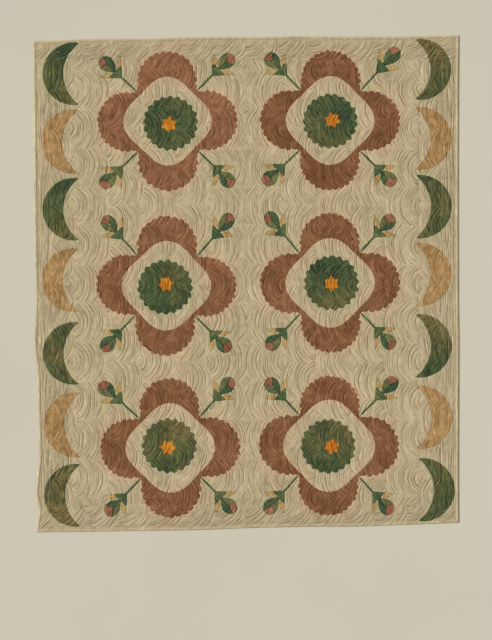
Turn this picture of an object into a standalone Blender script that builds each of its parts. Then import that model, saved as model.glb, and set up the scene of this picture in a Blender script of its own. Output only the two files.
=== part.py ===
"""Applique bed quilt lying flat: rose wreaths, bud sprigs and crescents on a fan-quilted ground.

Metres, +Z up. The quilt lies on z = 0 with its top edge towards +Y, and the origin is at the
middle of its underside. Every piece is one closed solid, 0.3 mm clear of its neighbours.
"""
import math
import random

import bmesh
import bpy
from mathutils import Matrix, Vector
from mathutils.geometry import delaunay_2d_cdt

GAP = 0.0003                    # clearance between neighbouring pieces
HAND_WANDER = 0.0015            # how far a hand-cut edge strays from even

# The bound outline: its four corners, and how far each edge strays outwards between them.
CORNERS = {
    "bottom_left": (-0.977, -1.159),
    "bottom_right": (0.992, -1.1145),
    "top_right": (0.993, 1.159),
    "top_left": (-0.993, 1.132),
}
SIDES = (  # from corner, to corner, outward direction, points along it
    ("bottom_left", "bottom_right", (0, -1), 22),
    ("bottom_right", "top_right", (1, 0), 24),
    ("top_right", "top_left", (0, 1), 22),
    ("top_left", "bottom_left", (-1, 0), 24),
)
STRAY = {  # share of the way along, stray outwards
    "bottom_left": ((0, 0), (0.15, 0.003), (0.38, 0.0065), (0.52, 0.002), (0.63, 0.0025),
                    (0.75, 0.007), (0.88, 0.004), (1, 0)),
    "bottom_right": ((0, 0), (0.12, -0.001), (0.37, 0.0005), (0.46, -0.002), (0.70, -0.003),
                     (0.87, -0.002), (1, 0)),
    "top_right": ((0, 0), (0.14, -0.0025), (0.26, 0.001), (0.38, 0.006), (0.49, 0.005),
                  (0.61, 0.008), (0.73, 0.004), (0.85, 0.007), (0.96, 0.001), (1, 0)),
    "top_left": ((0, 0), (0.40, 0.0), (0.52, -0.003), (0.61, 0.005), (0.69, -0.010),
                 (0.85, -0.015), (0.865, -0.014), (0.88, -0.006), (0.925, 0.003),
                 (0.955, -0.012), (1, 0)),
}

# Binding: a folded strip, measured in from the outline.
BINDING_WIDTH = 0.012
BINDING_CROWN = 0.0056
BINDING_PROFILE = (  # in from the outline, height
    (0.0010, 0.0),
    (0.0, 0.0030),
    (0.0054, BINDING_CROWN),
    (BINDING_WIDTH, 0.0042),
    (BINDING_WIDTH, 0.0),
)

# Quilted ground: heights of its sewn lines and of the wadding between them.
BODY_EDGE = 0.0040
SEWN_DEPTH = 0.0048
CREST = 0.0064
EDGE_ROLL = 0.022               # width of the band that slopes down to the binding
FIELD_IN = 0.035                # from the binding to where the fans begin

# Fans: scales in columns, bulging towards the middle of the quilt from both sides.
FAN_PITCH = 0.181               # along the quilt
FAN_STEP = 0.160                # across it, from column to column
FAN_CURVE = 0.125               # radius of a fan's outer edge
FAN_SAG = FAN_CURVE - math.sqrt(FAN_CURVE ** 2 - (FAN_PITCH / 2) ** 2)
FAN_REACH = FAN_STEP + FAN_SAG
FAN_COLUMNS = 6
FAN_ROWS = 7                    # above and below the middle one
FAN_EDGE_STEPS = (-1, -0.6, -0.2, 0.2, 0.6, 1)
FAN_CREST_STEPS = (-0.66, 0, 0.66)
FAN_CREST_BACK = 0.42           # crest's distance behind the outer edge, in columns

# Sewn-on cloth: each layer lies just clear of the one below.
CLOTH = 0.0010
LAYER_ONE = CREST + GAP
LAYER_TWO = LAYER_ONE + CLOTH + GAP

BLOCKS = (  # centre of each rose, turn in degrees, sunburst's and star's offset from the centre
    ((-0.367, 0.759), 1.0, (0.014, -0.010), (0.007, -0.015)),
    ((0.392, 0.762), -0.6, (0.000, -0.003), (0.011, 0.002)),
    ((-0.373, -0.009), -1.4, (-0.005, -0.006), (-0.001, 0.008)),
    ((0.392, 0.004), 0.8, (0.006, 0.000), (0.007, -0.004)),
    ((-0.354, -0.766), 1.2, (-0.005, 0.010), (-0.011, 0.002)),
    ((0.387, -0.756), -1.0, (-0.004, -0.002), (0.012, -0.004)),
)

# Rose: four scalloped petals on a ring round a cream middle.
PETAL_RADIUS = 0.140
PETAL_AT = 0.187
NECK_OUTER = 0.199
SCALLOP_DEPTH = 0.009
SCALLOPS = (15, 17, 16, 18)
SCALLOP_SHOULDERS = (0.30, 0.70)
OPENING_MEAN = 0.1935
OPENING_SWING = 0.0155
OPENING_POINTS = 36
OPENING_SIZES = (1.00, 1.00, 1.01, 1.01, 1.01, 1.04)

SUN_TIP = 0.130
SUN_ROOT = 0.1175
SUN_TEETH = 21
SUN_TURN = 5                    # degrees from one sunburst to the next
STAR_TIP = 0.039
STAR_ROOT = 0.025
STAR_POINTS = 6
STAR_TURN = 23                  # degrees from one star to the next

# Bud sprig, measured out along the block's diagonal unless it says otherwise.
STEM_TIP = NECK_OUTER + 0.0008
STEM_SHOULDER = 0.2100
STEM_WIDTH = 0.0085
APEX_AT = 0.3005
LEAF_EDGE = (  # along the calyx leg from its apex, off the leg towards the bud
    (0.0970, 0.0000),
    (0.0890, 0.0080),
    (0.0720, 0.0195),
    (0.0520, 0.0235),
    (0.0430, 0.0120),
)
BUD_BASE = (0.0325, 0.0225)     # where the bud meets the calyx, in the same terms
BUD_AT = 0.3925
BUD_LONG = 0.041
BUD_WIDE = 0.035
BUD_TURNS = (140, 110, 80, 50, 20)
SPRIG_LEAN = 2.0                # most that a sprig leans off its diagonal, degrees
SPRIG_STRETCH = (0.96, 1.03)
SEWN_ASKEW = {  # sprigs sewn well off their diagonal: further lean in degrees, further length
    (1, "ne"): (-3, 0.00),
    (1, "sw"): (-3, 0.00),
    (2, "ne"): (5, 0.15),
    (2, "sw"): (-3, 0.00),
    (3, "ne"): (6, 0.10),
    (3, "sw"): (4, 0.00),
    (4, "nw"): (-5, 0.08),
    (4, "se"): (-4, 0.00),
    (5, "ne"): (3, 0.05),
    (5, "nw"): (4, 0.08),
    (6, "ne"): (0, 0.08),
    (6, "nw"): (-3, 0.00),
    (6, "sw"): (4, 0.00),
}
QUARTERS = (("ne", 1, 1), ("nw", -1, 1), ("sw", -1, -1), ("se", 1, -1))

CRESCENTS = (  # side, centre along the quilt, outermost reach, half its length, cloth
    ("left", 0.980, 0.950, 0.1455, "green"),
    ("left", 0.663, 0.955, 0.1490, "tan"),
    ("left", 0.348, 0.950, 0.1455, "green"),
    ("left", 0.017, 0.953, 0.1480, "tan"),
    ("left", -0.325, 0.949, 0.1455, "green"),
    ("left", -0.659, 0.945, 0.1520, "tan"),
    ("left", -0.987, 0.942, 0.1460, "green"),
    ("right", 1.000, 0.957, 0.1410, "green"),
    ("right", 0.678, 0.958, 0.1460, "tan"),
    ("right", 0.360, 0.960, 0.1480, "green"),
    ("right", 0.044, 0.958, 0.1480, "tan"),
    ("right", -0.290, 0.959, 0.1480, "green"),
    ("right", -0.624, 0.962, 0.1480, "tan"),
    ("right", -0.961, 0.973, 0.1470, "green"),
)
CRESCENT_TIP_IN = 0.162         # from the outermost reach to the tips
CRESCENT_HOLLOW = 0.070         # how far the inner edge bows
CRESCENT_OUTER_STEPS = 16
CRESCENT_INNER_STEPS = 12
TIP_BLUNT = 0.004

CLOTHS = {  # colour as seen, red green blue out of 255, then roughness
    "cream_ground": ((181, 164, 131), 0.9),
    "cream_binding": ((186, 169, 137), 0.9),
    "rose_cloth": ((128, 88, 61), 0.88),
    "green_cloth": ((80, 84, 55), 0.88),
    "tan_cloth": ((166, 128, 79), 0.88),
    "orange_cloth": ((184, 117, 42), 0.88),
    "sprig_cloth": ((92, 96, 62), 0.88),
}


def clear_scene():
    """Start from an empty scene."""
    for thing in list(bpy.data.objects):
        bpy.data.objects.remove(thing)


def linear(channel):
    """Scene value of a colour channel out of 255."""
    share = channel / 255
    return share / 12.92 if share <= 0.04045 else ((share + 0.055) / 1.055) ** 2.4


def cloth(name):
    """The plain cloth of that name, made once."""
    made = bpy.data.materials.get(name)
    if made:
        return made
    colour, roughness = CLOTHS[name]
    made = bpy.data.materials.new(name)
    made.use_nodes = True
    shader = made.node_tree.nodes["Principled BSDF"]
    shader.inputs["Base Color"].default_value = (*map(linear, colour), 1)
    shader.inputs["Roughness"].default_value = roughness
    made.diffuse_color = (*map(linear, colour), 1)
    return made


def place(name, bm, cloth_name):
    """Turn a finished bmesh into a named object."""
    bmesh.ops.recalc_face_normals(bm, faces=bm.faces)
    mesh = bpy.data.meshes.new(name)
    bm.to_mesh(mesh)
    bm.free()
    mesh.materials.append(cloth(cloth_name))
    made = bpy.data.objects.new(name, mesh)
    bpy.context.scene.collection.objects.link(made)
    return made


def ring(bm, points, height):
    """A closed loop of edges at one height."""
    verts = [bm.verts.new((x, y, height)) for x, y in points]
    return [bm.edges.new((a, b)) for a, b in zip(verts, verts[1:] + verts[:1])]


def stray_at(rows, share):
    """Outward stray at a share of the way along an edge, easing between rows."""
    for (start, low), (end, high) in zip(rows, rows[1:]):
        if share <= end:
            step = (share - start) / (end - start)
            return low + (high - low) * step * step * (3 - 2 * step)
    return 0.0


def outline(inset):
    """The quilt's uneven outline, moved inwards by a distance."""
    corner = {}
    for name, (x, y) in CORNERS.items():
        corner[name] = Vector((x - math.copysign(inset, x), y - math.copysign(inset, y)))
    points = []
    for start, end, outward, count in SIDES:
        rows = STRAY[start]
        shares = sorted({step / count for step in range(count)} | {row[0] for row in rows[1:-1]})
        for share in shares:
            straight = corner[start].lerp(corner[end], share)
            points.append(straight + Vector(outward) * stray_at(rows, share))
    return points


def inside(point, loop):
    """Whether a point lies within a closed loop."""
    crossings = 0
    for a, b in zip(loop, loop[1:] + loop[:1]):
        if (a.y > point.y) != (b.y > point.y):
            reach = a.x + (point.y - a.y) / (b.y - a.y) * (b.x - a.x)
            crossings += point.x < reach
    return crossings % 2 == 1


def fan_line(apex, facing, behind, steps):
    """A line across a fan, parallel to its outer edge and some way behind it."""
    points = []
    for step in steps:
        rise = step * FAN_PITCH / 2
        bow = FAN_CURVE - math.sqrt(FAN_CURVE ** 2 - rise ** 2)
        points.append(Vector((apex.x + facing * (FAN_REACH - behind - bow), apex.y + rise)))
    return points


def fans():
    """Apex and facing of every fan, columns alternating by half a pitch."""
    for facing in (1, -1):
        for column in range(FAN_COLUMNS):
            shift = (column % 2) * FAN_PITCH / 2
            for row in range(-FAN_ROWS, FAN_ROWS + 1):
                across = -facing * (FAN_REACH + column * FAN_STEP)
                yield Vector((across, row * FAN_PITCH + shift)), facing


def ground_sheet():
    """Points, heights and sewn lines of the ground's upper side."""
    edge = outline(BINDING_WIDTH + GAP)
    roll = outline(BINDING_WIDTH + EDGE_ROLL)
    field = outline(BINDING_WIDTH + FIELD_IN)
    points = edge + roll
    heights = [BODY_EDGE] * len(edge) + [(SEWN_DEPTH + CREST) / 2] * len(roll)
    lines = [(len(edge) + i, len(edge) + (i + 1) % len(roll)) for i in range(len(roll))]
    for apex, facing in fans():
        for behind, steps, height in ((0, FAN_EDGE_STEPS, SEWN_DEPTH),
                                      (FAN_CREST_BACK * FAN_STEP, FAN_CREST_STEPS, CREST)):
            last = None
            for point in fan_line(apex, facing, behind, steps):
                if not inside(point, field):
                    last = None
                    continue
                points.append(point)
                heights.append(height)
                if last is not None:
                    lines.append((last, len(points) - 1))
                last = len(points) - 1
    return points, heights, lines, len(edge)


def make_body():
    """Quilted ground: low puffed fans above, flat below."""
    points, heights, lines, edge_count = ground_sheet()
    loop = [list(range(edge_count))]
    flat, _, faces, sources, _, _ = delaunay_2d_cdt(points, lines, loop, 1, 1e-6)
    bm = bmesh.new()
    for point, source in zip(flat, sources):
        height = min(heights[i] for i in source) if source else SEWN_DEPTH
        bm.verts.new((point.x, point.y, height))
    bm.verts.ensure_lookup_table()
    for face in faces:
        bm.faces.new([bm.verts[i] for i in face])
    rim = [edge for edge in bm.edges if edge.is_boundary]
    walls = bmesh.ops.extrude_edge_only(bm, edges=rim)["geom"]
    for vert in (part for part in walls if isinstance(part, bmesh.types.BMVert)):
        vert.co.z = 0
    base = [edge for edge in bm.edges if edge.is_boundary]
    bmesh.ops.holes_fill(bm, edges=base, sides=len(base))
    return place("quilt_body", bm, "cream_ground")


def make_binding():
    """Binding: one folded strip carried round all four edges."""
    bm = bmesh.new()
    loops = [ring(bm, outline(inset), height) for inset, height in BINDING_PROFILE]
    for low, high in zip(loops, loops[1:] + loops[:1]):
        bmesh.ops.bridge_loops(bm, edges=low + high)
    return place("binding", bm, "cream_binding")


def plate(name, loops, height, cloth_name):
    """A flat piece of cloth with the given outline, its first loop outermost."""
    bm = bmesh.new()
    edges = [edge for loop in loops for edge in ring(bm, loop, height)]
    bmesh.ops.triangle_fill(bm, use_beauty=True, use_dissolve=False, edges=edges)
    top = bmesh.ops.extrude_face_region(bm, geom=bm.faces[:], use_keep_orig=True)["geom"]
    raised = [part for part in top if isinstance(part, bmesh.types.BMVert)]
    bmesh.ops.translate(bm, vec=(0, 0, CLOTH), verts=raised)
    return place(name, bm, cloth_name)


def turned(points, x, y, degrees):
    """Points given about the origin, turned and moved to their place."""
    frame = Matrix.Translation((x, y, 0)) @ Matrix.Rotation(math.radians(degrees), 4, "Z")
    return [(frame @ Vector((px, py, 0))).to_2d() for px, py in points]


def petal(direction, scallops, rng):
    """Scalloped edge of one petal, from its neck round to the next one."""
    middle = Vector((PETAL_AT, 0))
    neck = Vector((NECK_OUTER, 0))
    neck.rotate(Matrix.Rotation(math.radians(-45), 2))
    half = math.atan2(-(neck - middle).y, (neck - middle).x)
    points = [neck]
    for scallop in range(scallops):
        size = PETAL_RADIUS + rng.uniform(-HAND_WANDER, HAND_WANDER)
        steps = SCALLOP_SHOULDERS if scallop == 0 else (0, *SCALLOP_SHOULDERS)
        for step in steps:
            angle = -half + 2 * half * (scallop + step) / scallops
            reach = size - (SCALLOP_DEPTH if step == 0 else 0)
            points.append(middle + reach * Vector((math.cos(angle), math.sin(angle))))
    for point in points:
        point.rotate(Matrix.Rotation(math.radians(direction), 2))
    return points


def make_rose(number, x, y, turn):
    """Rose: one ring of four petals."""
    rng = random.Random(number)
    edge = []
    for quarter in range(4):
        edge += petal(quarter * 90, SCALLOPS[(quarter + number) % 4], rng)
    opening = []
    for step in range(OPENING_POINTS):
        angle = 2 * math.pi * step / OPENING_POINTS
        reach = OPENING_SIZES[number - 1] * (OPENING_MEAN + OPENING_SWING * math.cos(4 * angle))
        opening.append((reach * math.cos(angle), reach * math.sin(angle)))
    loops = [turned(edge, x, y, turn), turned(opening, x, y, turn)]
    return plate(f"rose_{number}", loops, LAYER_ONE, "rose_cloth")


def toothed(tip, root, teeth, rng):
    """Outline of a disc or star with even teeth, slightly uneven in reach."""
    points = []
    for step in range(2 * teeth):
        reach = (root if step % 2 else tip) + rng.uniform(-HAND_WANDER, HAND_WANDER)
        angle = math.pi * step / teeth
        points.append((reach * math.cos(angle), reach * math.sin(angle)))
    return points


def make_middle(number, sun_at, star_at):
    """Sunburst in the middle of a rose, with its star on top."""
    rng = random.Random(10 + number)
    sun = turned(toothed(SUN_TIP, SUN_ROOT, SUN_TEETH, rng), *sun_at, SUN_TURN * number)
    star = turned(toothed(STAR_TIP, STAR_ROOT, STAR_POINTS, rng), *star_at, STAR_TURN * number)
    plate(f"sunburst_{number}", [sun], LAYER_ONE, "green_cloth")
    plate(f"star_{number}", [star], LAYER_TWO, "orange_cloth")


def sprig_half():
    """One side of a sprig about its diagonal, from the stem's tip round to the bud's crown."""
    half_stem = STEM_WIDTH / 2
    points = [(STEM_TIP, 0), (STEM_SHOULDER, -half_stem), (APEX_AT - half_stem, -half_stem)]
    for along, off in (*LEAF_EDGE, BUD_BASE):
        points.append((APEX_AT + (along + off) / math.sqrt(2), (off - along) / math.sqrt(2)))
    for turn in BUD_TURNS:
        angle = math.radians(turn)
        points.append((BUD_AT + BUD_LONG * math.cos(angle), -BUD_WIDE * math.sin(angle)))
    return points


def make_sprig(number, x, y, turn, quarter, across, along):
    """Bud sprig on one diagonal of a block."""
    rng = random.Random(100 + 4 * number + QUARTERS.index((quarter, across, along)))
    half = sprig_half()
    loop = half + [(px, -py) for px, py in reversed(half) if py]
    more_lean, more_length = SEWN_ASKEW.get((number, quarter), (0, 0))
    lean = rng.uniform(-SPRIG_LEAN, SPRIG_LEAN) + more_lean
    stretch = rng.uniform(*SPRIG_STRETCH) + more_length
    points = []
    for px, py in loop:
        past = px - STEM_TIP
        past += (stretch - 1) * min(past, BUD_AT - STEM_TIP)
        points.append((STEM_TIP + past, py + past * math.tan(math.radians(lean))))
    angle = math.degrees(math.atan2(along, across)) + turn
    return plate(f"sprig_{number}_{quarter}", [turned(points, x, y, angle)], LAYER_ONE,
                 "sprig_cloth")


def bowed(half, bow, steps):
    """Points of a circular arc from one tip to the other, bowing towards -X."""
    radius = (half ** 2 + bow ** 2) / (2 * bow)
    spread = math.atan2(half, radius - bow)
    points = []
    for step in range(steps + 1):
        angle = spread - 2 * spread * step / steps
        points.append((radius - bow - radius * math.cos(angle), radius * math.sin(angle)))
    return points


def make_crescent(name, side, y, reach, half, cloth_name):
    """Crescent: a moon with its back to the quilt's side."""
    outer = bowed(half, CRESCENT_TIP_IN, CRESCENT_OUTER_STEPS)
    inner = bowed(half - TIP_BLUNT, CRESCENT_HOLLOW, CRESCENT_INNER_STEPS)
    loop = outer + [(px + TIP_BLUNT, py) for px, py in reversed(inner)]
    facing = -1 if side == "left" else 1
    loop = [(facing * (reach - CRESCENT_TIP_IN - px), y + py) for px, py in loop]
    return plate(name, [loop], LAYER_ONE, f"{cloth_name}_cloth")


def make_crescents():
    """Seven crescents down each side."""
    count = {"left": 0, "right": 0}
    for side, y, reach, half, cloth_name in CRESCENTS:
        count[side] += 1
        make_crescent(f"crescent_{side}_{count[side]}", side, y, reach, half, cloth_name)


def build():
    """Make the whole quilt."""
    clear_scene()
    make_body()
    make_binding()
    for number, ((x, y), turn, sun_off, star_off) in enumerate(BLOCKS, start=1):
        make_rose(number, x, y, turn)
        make_middle(number, (x + sun_off[0], y + sun_off[1]), (x + star_off[0], y + star_off[1]))
        for quarter, across, along in QUARTERS:
            make_sprig(number, x, y, turn, quarter, across, along)
    make_crescents()


build()
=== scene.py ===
"""Looks of the applique quilt: a hand-quilted cotton ground, sewn-on cloth and a bound edge.

Metres, in the frame's own axes: the quilt lies on z = 0 with its top edge towards +Y.
"""

import itertools
import math
import random

import bmesh
import bpy
import numpy as np
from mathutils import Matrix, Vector, noise
from mathutils.geometry import delaunay_2d_cdt


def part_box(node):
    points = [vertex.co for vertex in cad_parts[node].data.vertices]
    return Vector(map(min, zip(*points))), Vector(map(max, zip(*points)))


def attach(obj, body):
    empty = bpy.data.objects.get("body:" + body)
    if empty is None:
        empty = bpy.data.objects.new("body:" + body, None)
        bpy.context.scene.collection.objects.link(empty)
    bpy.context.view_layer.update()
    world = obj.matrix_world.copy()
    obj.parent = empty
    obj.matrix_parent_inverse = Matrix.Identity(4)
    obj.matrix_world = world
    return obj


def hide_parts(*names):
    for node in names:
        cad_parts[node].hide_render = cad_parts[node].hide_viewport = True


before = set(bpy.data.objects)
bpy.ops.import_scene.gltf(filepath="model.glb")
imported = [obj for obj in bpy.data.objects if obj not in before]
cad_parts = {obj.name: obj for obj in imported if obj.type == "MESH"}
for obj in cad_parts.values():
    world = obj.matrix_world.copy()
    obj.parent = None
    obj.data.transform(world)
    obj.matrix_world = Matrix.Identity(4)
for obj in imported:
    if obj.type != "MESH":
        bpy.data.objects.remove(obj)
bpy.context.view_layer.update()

# --- Sizes -----------------------------------------------------------------------------------

WELD = 1e-5                     # loose corners of a CAD node closer than this are one
MEET = 1e-6                     # points closer than this are one when cloth is cut

# Sewn lines, and the rows of points that shape the cloth between two of them.
LINE_GAP = 0.0168
LINE_ROWS = (0, 0.2, 0.5, 0.8)  # where the rows lie between one sewn line and the next
ALONG_STEP = 0.0145             # between the points of a row, and less where it bends sharply
BEND_STEP = 0.004
BEND_SHARE = 0.25
STRAY_PASSES = 5                # until a strayed row lies where its points are read
CROWDED = 0.0022                # rows that meet closer than this are thinned out
LINE_WIDTH = 0.17               # of a sewn line's hollow, in gaps between lines
CREASE_WIDTH = 0.12             # of the slack crease between two lines
FURROW_DEPTH = 0.0015
CREASE_DEPTH = 0.75             # beside a sewn line's
OWN_STRAY = 0.0062              # how far a line strays by itself
SHARED_STRAY = 0.0072           # with all the lines near it
SHAKY_STRAY = 0.0018            # within a few stitches
PULL_MEAN = 0.68                # how hard a line is pulled in, as a share of FURROW_DEPTH
PULL_SPREAD = 1.5
PULL_LEAST = 0.05
PULL_MOST = 1.4

# Fans: scales in columns, bulging towards the middle of the quilt from both sides.
FAN_PITCH = 0.181
FAN_HALF = FAN_PITCH / 2
FAN_STEP = 0.160
FAN_CURVE = 0.125
FAN_SAG = FAN_CURVE - math.sqrt(FAN_CURVE ** 2 - FAN_HALF ** 2)
FAN_REACH = FAN_STEP + FAN_SAG
FAN_COLUMNS = 6
FAN_ROWS = 7

# Lines along the sides, and quarter rounds along the top and the bottom.
SIDE_BAND = 0.905               # from the middle out to where the side lines begin
TOP_BAND = 1.045
BOTTOM_BAND = -1.035
ROUND_PITCH = 0.150
TOP_CENTRES = 1.175
BOTTOM_CENTRES = BOTTOM_BAND + 0.03
SIDE_REACH = 0.1                # how far out the lines of each of these parts go
ROUND_REACH = 0.22

# Heights.
SEAM_LOW = 0.0038               # ground where it meets the binding
LOW = 0.0050
HIGH = 0.0066
EDGE_ROLL = 0.024               # width over which the ground rises from the binding's seam
HIDDEN_IN = 0.005               # ground further than this under sewn-on cloth is left plain
HIDDEN_HEIGHT = 0.0026
HIDDEN_GRID = 0.03              # spacing of the few points that hold it
SUNK = 0.0012                   # how far ground is pressed down by the cloth sewn on it
SUNK_WITHIN = 0.0014            # width over which it sinks
REST_GAP = 0.0001
CLOTH = 0.0008
TURNED_EDGE = 0.0018            # width over which a turned edge rolls down
TURNED_RINGS = (0.4, 1)         # shares of it at which rings of points lie
EDGE_THICK = 0.0003
RING_GAP = 0.0015               # from a sewn-on outline to the ring of points beside it

# Binding: heights in the CAD node at which its outer edge and its seam lie, and its measures.
BOUND_EDGE_Z = 0.0030
BOUND_SEAM_Z = 0.0042
BOUND_WIDTH = 0.012
SIDE_STEPS = 64                 # points along each side of its rings
RIPPLE = 0.08                   # of its height
RIPPLE_SCALE = 45

# Along the edge of the ground, and where dye has crept from sewn-on cloth.
EDGE_LINE = 0.009               # a sewn line runs this far in from the binding's seam
EDGE_LINE_WIDTH = 0.0022
EDGE_CLEAR = 0.003              # between the rings of points there, and from the edge to the rows
DYE_REACH = 0.007
DYE_ENDS = 12                   # no dye has crept further than this many reaches

# Where a worn cloth starts to fade towards its foot, and over how much of its length it does.
FOOT_FROM = -0.10
FOOT_BLEND = 0.05

SUN_BOW = 0.0015                # how far the sides of its teeth are pushed out
STAR_BOW = 0.0010
CRISP = math.radians(60)        # edges that turn further than this are shaded sharp


# --- Outlines from the frame -----------------------------------------------------------------

def cad_mesh(node):
    """A welded copy of a CAD node's mesh."""
    bm = bmesh.new()
    bm.from_mesh(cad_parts[node].data)
    bmesh.ops.remove_doubles(bm, verts=bm.verts[:], dist=WELD)
    bm.verts.index_update()
    return bm


def area_of(loop):
    """Area inside a loop, above zero where it runs anticlockwise."""
    x, y = loop.T
    return float((x * np.roll(y, -1) - np.roll(x, -1) * y).sum() / 2)


def loops_along(edges):
    """Closed anticlockwise loops of points walked along some edges, the largest first."""
    ahead = {}
    place = {}
    for edge in edges:
        a, b = edge.verts
        ahead.setdefault(a.index, []).append(b.index)
        ahead.setdefault(b.index, []).append(a.index)
        place[a.index] = a.co.xy
        place[b.index] = b.co.xy
    loops = []
    while ahead:
        here = min(ahead)
        loop = []
        while here in ahead:
            loop.append(place[here])
            here = next((i for i in ahead.pop(here) if i in ahead), None)
        loop = np.array(loop, float)
        loops.append(loop if area_of(loop) > 0 else loop[::-1])
    return sorted(loops, key=area_of, reverse=True)


def plate_loops(node):
    """Outline of a flat CAD plate, with any opening after it."""
    bm = cad_mesh(node)
    top = max(vert.co.z for vert in bm.verts)
    bm.normal_update()
    edges = []
    for edge in bm.edges:
        level = all(abs(vert.co.z - top) < WELD for vert in edge.verts)
        if level and sum(face.normal.z > 0.9 for face in edge.link_faces) == 1:
            edges.append(edge)
    loops = loops_along(edges)
    bm.free()
    return loops


def binding_loop(height):
    """The binding's ring at one of its heights, as evenly spaced points along each of its sides."""
    bm = cad_mesh("binding")
    edges = [e for e in bm.edges if all(abs(v.co.z - height) < 10 * WELD for v in e.verts)]
    loop = loops_along(edges)[0]
    bm.free()
    corners = [int(np.argmax(loop @ way)) for way in ((-1, -1), (1, -1), (1, 1), (-1, 1))]
    loop = np.roll(loop, -corners[0], 0)
    corners = [(corner - corners[0]) % len(loop) for corner in corners] + [len(loop)]
    loop = np.concatenate([loop, loop[:1]])
    points = []
    for first, last in zip(corners, corners[1:]):
        side = loop[first:last + 1]
        run = np.concatenate([[0], np.linalg.norm(np.diff(side, axis=0), axis=1).cumsum()])
        stops = np.linspace(0, run[-1], SIDE_STEPS + 1)[:-1]
        points.append(np.stack([np.interp(stops, run, side[:, axis]) for axis in (0, 1)], 1))
    return np.concatenate(points)


BOUND_EDGE = binding_loop(BOUND_EDGE_Z)
BOUND_SEAM = binding_loop(BOUND_SEAM_Z)


def bound_ring(share, steps):
    """A ring some share of the way from the quilt's edge to the binding's seam, or past it."""
    ring = BOUND_EDGE + (BOUND_SEAM - BOUND_EDGE) * share
    ahead = np.roll(ring, -1, 0)
    return np.concatenate([[a + (b - a) * s / steps for s in range(steps)]
                           for a, b in zip(ring, ahead)])


# --- Loops and patches -----------------------------------------------------------------------

SHARP_POINT = math.radians(55)
SHARP_NOTCH = math.radians(30)
BUNCHED = 0.8                   # a moved point must keep this share of its distance


def turns(loop):
    """How far the loop turns at each of its points, to the left above zero."""
    before = loop - np.roll(loop, 1, 0)
    after = np.roll(loop, -1, 0) - loop
    cross = before[:, 0] * after[:, 1] - before[:, 1] * after[:, 0]
    return np.arctan2(cross, (before * after).sum(1))


def rounded(loop, passes=2):
    """A loop with its gentle turns rounded off. Sharp points and notches stay."""
    turn = turns(loop)
    sharp = (turn > SHARP_POINT) | (turn < -SHARP_NOTCH)
    for _ in range(passes):
        points = []
        kept = []
        for i, point in enumerate(loop):
            if sharp[i]:
                points.append(point)
                kept.append(True)
                continue
            points.append(point + (loop[i - 1] - point) / 4)
            points.append(point + (loop[(i + 1) % len(loop)] - point) / 4)
            kept += [False, False]
        loop = np.array(points)
        sharp = kept
    return loop


def spaced(loop, step=0.005):
    """A loop with more points along its longer sides."""
    points = []
    for start, side in zip(loop, np.roll(loop, -1, 0) - loop):
        count = math.ceil(math.hypot(*side) / step)
        points += [start + side * number / count for number in range(count)]
    return np.array(points)


def bowed(loop, bow):
    """A loop with the middle of each side pushed outwards."""
    ahead = np.roll(loop, -1, 0)
    side = ahead - loop
    outward = np.stack([side[:, 1], -side[:, 0]], 1) / np.linalg.norm(side, axis=1)[:, None]
    return np.stack([loop, (loop + ahead) / 2 + outward * bow], 1).reshape(-1, 2)


def moved_in(loop, distance):
    """A loop moved inwards, without the points that would bunch up in its sharp tips."""
    before = loop - np.roll(loop, 1, 0)
    after = np.roll(loop, -1, 0) - loop
    way = before / np.linalg.norm(before, axis=1)[:, None]
    way += after / np.linalg.norm(after, axis=1)[:, None]
    way /= np.linalg.norm(way, axis=1)[:, None]
    ring = loop + np.stack([-way[:, 1], way[:, 0]], 1) * distance
    return ring[edge_distance(ring, loop) > abs(distance) * BUNCHED]


def edge_distance(points, loop):
    """Distance from each point to the nearest side of a loop."""
    x, y = points.T.copy()
    best = np.full(len(points), np.inf)
    for (ax, ay), (sx, sy) in zip(loop, np.roll(loop, -1, 0) - loop):
        dx = x - ax
        dy = y - ay
        share = np.clip((dx * sx + dy * sy) / (sx * sx + sy * sy), 0, 1)
        best = np.minimum(best, (dx - share * sx) ** 2 + (dy - share * sy) ** 2)
    return np.sqrt(best)


def within(points, loop):
    """Which points lie within a loop."""
    x, y = points.T
    found = np.zeros(len(points), bool)
    for (ax, ay), (bx, by) in zip(loop, np.roll(loop, -1, 0)):
        if ay != by:
            found ^= ((ay > y) != (by > y)) & (x < ax + (y - ay) / (by - ay) * (bx - ax))
    return found


class Patch:
    """One cut piece of cloth: its outline, and any opening in it."""

    def __init__(self, *loops):
        self.cuts = loops
        self.loops = [spaced(loop) for loop in loops]
        self.low = loops[0].min(0)
        self.high = loops[0].max(0)

    def near(self, points, reach=0.0):
        """Which points lie in the patch's box, or within reach of it."""
        return ((points > self.low - reach) & (points < self.high + reach)).all(1)

    def covers(self, points):
        """Which points lie on the cloth."""
        found = within(points, self.cuts[0])
        for opening in self.cuts[1:]:
            found &= ~within(points, opening)
        return found

    def rim(self, points):
        """Distance from each point to the nearest edge of the cloth."""
        return np.min([edge_distance(points, loop) for loop in self.cuts], 0)

    def cut_size(self):
        """Width and length of the smallest oblong that the cloth can be cut from."""
        best = None
        for turn in np.radians(range(0, 90, 3)):
            ways = np.array([[math.cos(turn), -math.sin(turn)], [math.sin(turn), math.cos(turn)]])
            size = sorted(float(side) for side in np.ptp(self.loops[0] @ ways, axis=0))
            if best is None or size[0] * size[1] < best[0] * best[1]:
                best = size
        return best

    def area(self):
        """Area of the cloth as cut."""
        return area_of(self.loops[0]) - sum(area_of(loop) for loop in self.loops[1:])


# --- Quilting pattern ------------------------------------------------------------------------

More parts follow.
